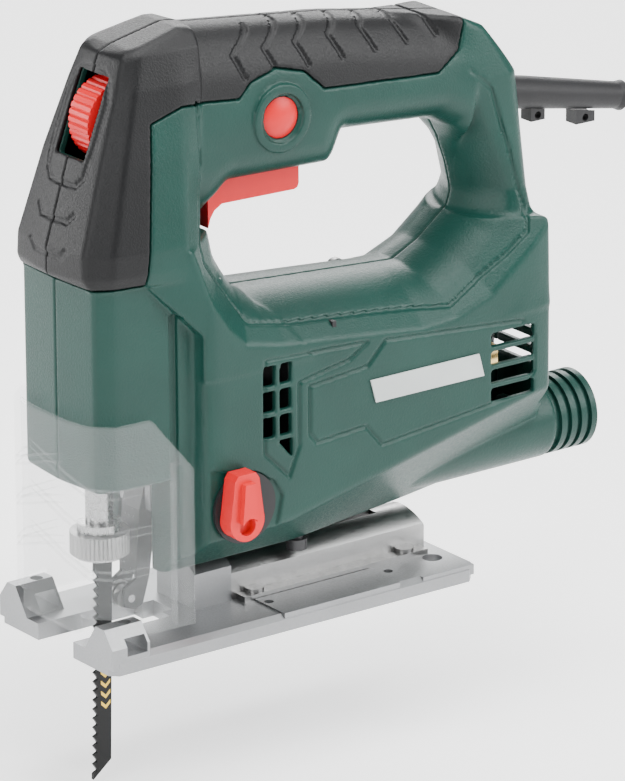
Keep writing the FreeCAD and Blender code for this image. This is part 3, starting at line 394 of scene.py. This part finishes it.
def surface(name, field, mirrored=False):
    """The zero surface of a field as an object."""
    grid = openvdb.FloatGrid(BAND * 2)
    grid.gridClass = openvdb.GridClass.LEVEL_SET
    grid.copyFromArray(np.ascontiguousarray(np.clip(field, -BAND, BAND), np.float32))
    grid.transform = openvdb.createLinearTransform(voxelSize=VOXEL)
    points, triangles, quads = grid.convertToPolygons(isovalue=0.0, adaptivity=0.0)
    points = points + np.array([xs[0], ys[0], zs[0]], np.float32)
    triangles = np.concatenate([triangles, quads[:, [0, 1, 2]], quads[:, [0, 2, 3]]])
    if mirrored:
        points = points * np.array([1, -1, 1], np.float32)
    else:
        triangles = triangles[:, ::-1]
    return solid(name, points, triangles)


def grip_marks(grip, skin_form):
    """The grip with its slots, nose marks and the line round the dial cut into it."""
    for mark in GRIP_SLOTS:
        cut = path(X, Z, mark) - 0.75
        grip = np.maximum(grip, -both(cut, -(skin_form + 0.9), 0.3))
    for mark in NOSE_MARKS:
        cut = path(Y, Z, mark) - 0.8
        grip = np.maximum(grip, -both(both(cut, -(skin_form + 0.6), 0.3), -6 - X))
    rim = np.abs(path(Y, Z, DIAL_FIELD) - 0.5) - 0.5
    return np.maximum(grip, -both(both(rim, -(skin_form + 0.5), 0.2), -6 - X))


def control_seats(hard_half):
    """The left half with the lock button's collar and hole, and the selector lever's seat and bore."""
    collar = both(disc(BUTTON_X, BUTTON_Z, COLLAR_R), -disc(BUTTON_X, BUTTON_Z, COLLAR_BORE_R))
    collar = both(collar, both(Y - 18.2, 14 - Y), 0.5)
    seat = both(disc(BUTTON_X, BUTTON_Z, COLLAR_R), both(Y - 16.4, 14 - Y))
    hard_half = np.minimum(np.minimum(hard_half, collar), seat)
    hard_half = np.maximum(hard_half, -both(disc(BUTTON_X, BUTTON_Z, BUTTON_R), 5 - Y))
    hard_half = np.maximum(hard_half, -both(disc(DISC_X, DISC_Z, DISC_R), 26.7 - Y))
    return np.maximum(hard_half, -both(disc(LEVER_X, LEVER_Z, LEVER_BORE_R), 18 - Y))


def housing():
    """Both hard shells and both soft grips, under the names of the CAD nodes that they stand for."""
    skin_form = envelope()
    zone = outline(X, Z, GRIP_ZONE)
    hard = np.minimum(np.maximum(skin_form, GAP - zone), skin_form + SKIN)
    shell = np.maximum(hard, -(hard + WALL))
    grip = both(both(skin_form, zone + GAP, 0.5), -(skin_form + SKIN - 0.05))
    shell, grip = openings(shell), openings(grip_marks(grip, skin_form))
    seam = 0.05 - Y
    made = {}
    for side in ("left", "right"):
        hard_half, grip_half = shell, grip
        if side == "left":
            hard_half = control_seats(hard_half)
            grip_half = np.maximum(grip_half, -disc(BUTTON_X, BUTTON_Z, COLLAR_R + 0.1))
        made["housing_" + side] = surface("shell_" + side, both(hard_half, seam, 0.4), side == "right")
        made["grip_" + side] = surface("skin_" + side, both(grip_half, seam, 0.4), side == "right")
    return made


# ---- materials ----
def shader(name, colour, roughness, metallic):
    material = bpy.data.materials.new(name)
    material.use_nodes = True
    nodes, links = material.node_tree.nodes, material.node_tree.links
    principled = nodes["Principled BSDF"]
    principled.inputs["Base Color"].default_value = (*colour, 1)
    principled.inputs["Roughness"].default_value = roughness
    principled.inputs["Metallic"].default_value = metallic
    principled.inputs["Specular IOR Level"].default_value = SPECULAR_LEVEL
    return material, nodes, links, principled


def noise(nodes, links, scale, detail, stretch=(1, 1, 1)):
    place = nodes.new("ShaderNodeTexCoord")
    mapping = nodes.new("ShaderNodeMapping")
    mapping.inputs["Scale"].default_value = stretch
    texture = nodes.new("ShaderNodeTexNoise")
    texture.inputs["Scale"].default_value = scale
    texture.inputs["Detail"].default_value = detail
    links.new(place.outputs["Object"], mapping.inputs["Vector"])
    links.new(mapping.outputs["Vector"], texture.inputs["Vector"])
    return texture


def ramp(nodes, links, source, first, last):
    """A colour ramp between two colours over the middle of a noise."""
    node = nodes.new("ShaderNodeValToRGB")
    for element, at, colour in zip(node.color_ramp.elements, (0.3, 0.7), (first, last)):
        element.position = at
        element.color = (*colour, 1)
    links.new(source, node.inputs["Fac"])
    return node


def grained(name, colour, roughness, metallic=0.0, scale=900.0, depth=0.03, spread=0.12,
            stretch=(1, 1, 1), rough_spread=0.08):
    """A surface whose colour drifts softly and whose grain is bumped; depth is in millimetres."""
    material, nodes, links, principled = shader(name, colour, roughness, metallic)
    drift = noise(nodes, links, 35.0, 5.0)
    dark = tuple(c * (1 - spread) for c in colour)
    light = tuple(min(1, c * (1 + spread)) for c in colour)
    tint = ramp(nodes, links, drift.outputs["Fac"], dark, light)
    links.new(tint.outputs["Color"], principled.inputs["Base Color"])
    grain = noise(nodes, links, scale, 3.0, stretch)
    smooth = (max(roughness - rough_spread, 0.02),) * 3
    rough = (min(roughness + rough_spread, 1),) * 3
    polish = ramp(nodes, links, grain.outputs["Fac"], smooth, rough)
    links.new(polish.outputs["Color"], principled.inputs["Roughness"])
    bump = nodes.new("ShaderNodeBump")
    bump.inputs["Strength"].default_value = 0.5
    bump.inputs["Distance"].default_value = depth * MM
    links.new(grain.outputs["Fac"], bump.inputs["Height"])
    links.new(bump.outputs["Normal"], principled.inputs["Normal"])
    return material, principled


def palette():
    """One material for each slot of the record."""
    made = {}
    for name, finish in FINISHES.items():
        made[name], principled = grained(name, **finish)
        if name == "clear_guard":
            principled.inputs["Specular IOR Level"].default_value = GUARD_SPECULAR
            principled.inputs["Alpha"].default_value = GUARD_ALPHA
            principled.inputs["IOR"].default_value = GUARD_IOR
    return made


def dress(obj, material):
    obj.data.materials.clear()
    obj.data.materials.append(material)


# ---- small pieces ----
def ribbon(name, points, radius, body, node, sides=8):
    """A thin round bead along a line of points in millimetres, riding on a CAD body."""
    rings, faces = [], []
    for i, point in enumerate(points):
        ahead = Vector(points[min(i + 1, len(points) - 1)]) - Vector(points[max(i - 1, 0)])
        turn = ahead.to_track_quat("Z", "Y")
        size = radius * (0.3 if i in (0, len(points) - 1) else 1)
        for k in range(sides):
            angle = 2 * math.pi * k / sides
            offset = turn @ Vector((size * math.cos(angle), size * math.sin(angle), 0))
            rings.append(Vector(point) + offset)
    for i in range(len(points) - 1):
        for k in range(sides):
            a, b = i * sides + k, i * sides + (k + 1) % sides
            faces.append((a, b, b + sides, a + sides))
    last = (len(points) - 1) * sides
    faces.append(tuple(reversed(range(sides))))
    faces.append(tuple(range(last, last + sides)))
    mesh = bpy.data.meshes.new(name)
    mesh.from_pydata([v * MM for v in rings], [], faces)
    mesh.shade_smooth()
    obj = bpy.data.objects.new(name, mesh)
    bpy.context.scene.collection.objects.link(obj)
    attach(obj, body)
    dress(obj, materials[slot_of[node]])
    return obj


def coil(start, axis, radius, wire, length, turns):
    """Points of a helix that starts at a point and climbs along +Y or +Z."""
    x, y, z = start
    steps = turns * COIL_STEPS
    points = []
    for i in range(steps + 1):
        angle = 2 * math.pi * i / COIL_STEPS
        climb = wire + (length - 2 * wire) * i / steps
        a, b = radius * math.cos(angle), radius * math.sin(angle)
        points.append((x + a, y + b, z + climb) if axis == "Z" else (x + a, y + climb, z + b))
    return points


def plate(name, corners, y, thickness, body, material):
    """A thin flat mark with chamfered edges, lying on a side face at y; corners are (x, z)."""
    count = len(corners)
    centre_x = sum(x for x, z in corners) / count
    centre_z = sum(z for x, z in corners) / count
    verts = [(x, y, z) for x, z in corners]
    for x, z in corners:
        verts.append((centre_x + (x - centre_x) * 0.94, y + thickness, centre_z + (z - centre_z) * 0.94))
    faces = [tuple(range(count, 2 * count)), tuple(reversed(range(count)))]
    faces += [(i, i + count, (i + 1) % count + count, (i + 1) % count) for i in range(count)]
    mesh = bpy.data.meshes.new(name)
    mesh.from_pydata([Vector(v) * MM for v in verts], [], faces)
    obj = bpy.data.objects.new(name, mesh)
    bpy.context.scene.collection.objects.link(obj)
    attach(obj, body)
    dress(obj, material)


def soft_light(name, place, size, power):
    data = bpy.data.lights.new(name, "AREA")
    data.shape = "RECTANGLE"
    data.size, data.size_y = size
    data.energy = power
    obj = bpy.data.objects.new(name, data)
    bpy.context.scene.collection.objects.link(obj)
    obj.location = place
    obj.rotation_euler = (Vector(place) - Vector(LIGHT_TARGET)).to_track_quat("Z", "Y").to_euler()


# ---- the object ----
materials = palette()
slot_of = {}
for name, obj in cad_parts.items():
    own = obj.data.materials[0].name if obj.data.materials and obj.data.materials[0] else ""
    slot_of[name] = own.split(".")[0]
    dress(obj, materials[slot_of[name]])

for name, obj in housing().items():
    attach(obj, "machine")
    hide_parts(name)
    dress(obj, materials[slot_of[name]])

for node, joint, axis, wire, turns, direction, travel in SPRINGS:
    spring_low, spring_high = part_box(node)
    centre = (spring_low + spring_high) / 2
    if axis == "Z":
        start, length = (centre.x, centre.y, spring_low.z), spring_high.z - spring_low.z
    else:
        start, length = (centre.x, spring_low.y, centre.z), spring_high.y - spring_low.y
    radius = (spring_high.x - spring_low.x) / 2 / MM - wire
    points = coil([c / MM for c in start], axis, radius, wire, length / MM, turns)
    spring = ribbon(node + "_coil", points, wire, "machine", node)
    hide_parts(node)
    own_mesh(spring)

for line in range(6):
    top = BEAD_TOP - BEAD_PITCH * (line // 2) - BEAD_GAP * (line % 2)
    bead = [(x, y, top - fall) for (x, y), fall in zip(GUARD_PLAN, BEAD_FALL)]
    ribbon("guard_bead_%d" % line, bead, BEAD_R, "chip_guard", "guard")
    bead = [(x, -y, z) for x, y, z in bead]
    ribbon("guard_bead_right_%d" % line, bead, BEAD_R, "chip_guard", "guard")

blade_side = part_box("saw_blade")[1].y / MM
for step in range(4):
    chevron_z = CHEVRON_TOP - CHEVRON_PITCH * step
    chevron = [(x, chevron_z + z) for x, z in CHEVRON]
    plate("blade_chevron_%d" % step, chevron, blade_side, CHEVRON_THICKNESS, "plunger",
          materials["yellow_plastic"])

# ---- floor, light and camera ----
floor_mesh = bpy.data.meshes.new("studio_floor")
floor_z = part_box("saw_blade")[0].z - FLOOR_GAP
floor_corners = [(x * FLOOR_REACH, y * FLOOR_REACH, floor_z) for x, y in ((-1, -1), (1, -1), (1, 1), (-1, 1))]
floor_mesh.from_pydata(floor_corners, [], [(0, 1, 2, 3)])
floor = bpy.data.objects.new("studio_floor", floor_mesh)
bpy.context.scene.collection.objects.link(floor)
ground, ground_shader = grained("studio_white", (0.95, 0.95, 0.95), 0.7, scale=40, depth=0.05, spread=0.01)
ground_shader.inputs["Emission Color"].default_value = (1, 1, 1, 1)
ground_shader.inputs["Emission Strength"].default_value = FLOOR_GLOW
dress(floor, ground)

world = bpy.data.worlds.new("studio")
bpy.context.scene.world = world
world.use_nodes = True
world.node_tree.nodes["Background"].inputs["Color"].default_value = (1, 1, 1, 1)
world.node_tree.nodes["Background"].inputs["Strength"].default_value = WORLD_STRENGTH

for name, place, size, power in LIGHTS:
    soft_light(name, place, size, power)

level = Vector((-math.cos(CAMERA_TURN), math.sin(CAMERA_TURN), 0))
back = Vector((math.sin(CAMERA_TURN) * math.cos(CAMERA_RISE), math.cos(CAMERA_TURN) * math.cos(CAMERA_RISE),
               math.sin(CAMERA_RISE)))
upright = back.cross(level)
right = level * math.cos(CAMERA_ROLL) + upright * math.sin(CAMERA_ROLL)
up = upright * math.cos(CAMERA_ROLL) - level * math.sin(CAMERA_ROLL)
camera_data = bpy.data.cameras.new("camera")
camera_data.lens = CAMERA_LENS
camera_data.clip_end = CAMERA_REACH
camera = bpy.data.objects.new("camera", camera_data)
bpy.context.scene.collection.objects.link(camera)
place = (right * CAMERA_RIGHT + up * CAMERA_UP + back * CAMERA_BACK) * MM
camera.matrix_world = Matrix.Translation(place) @ Matrix((right, up, back)).transposed().to_4x4()
bpy.context.scene.camera = camera
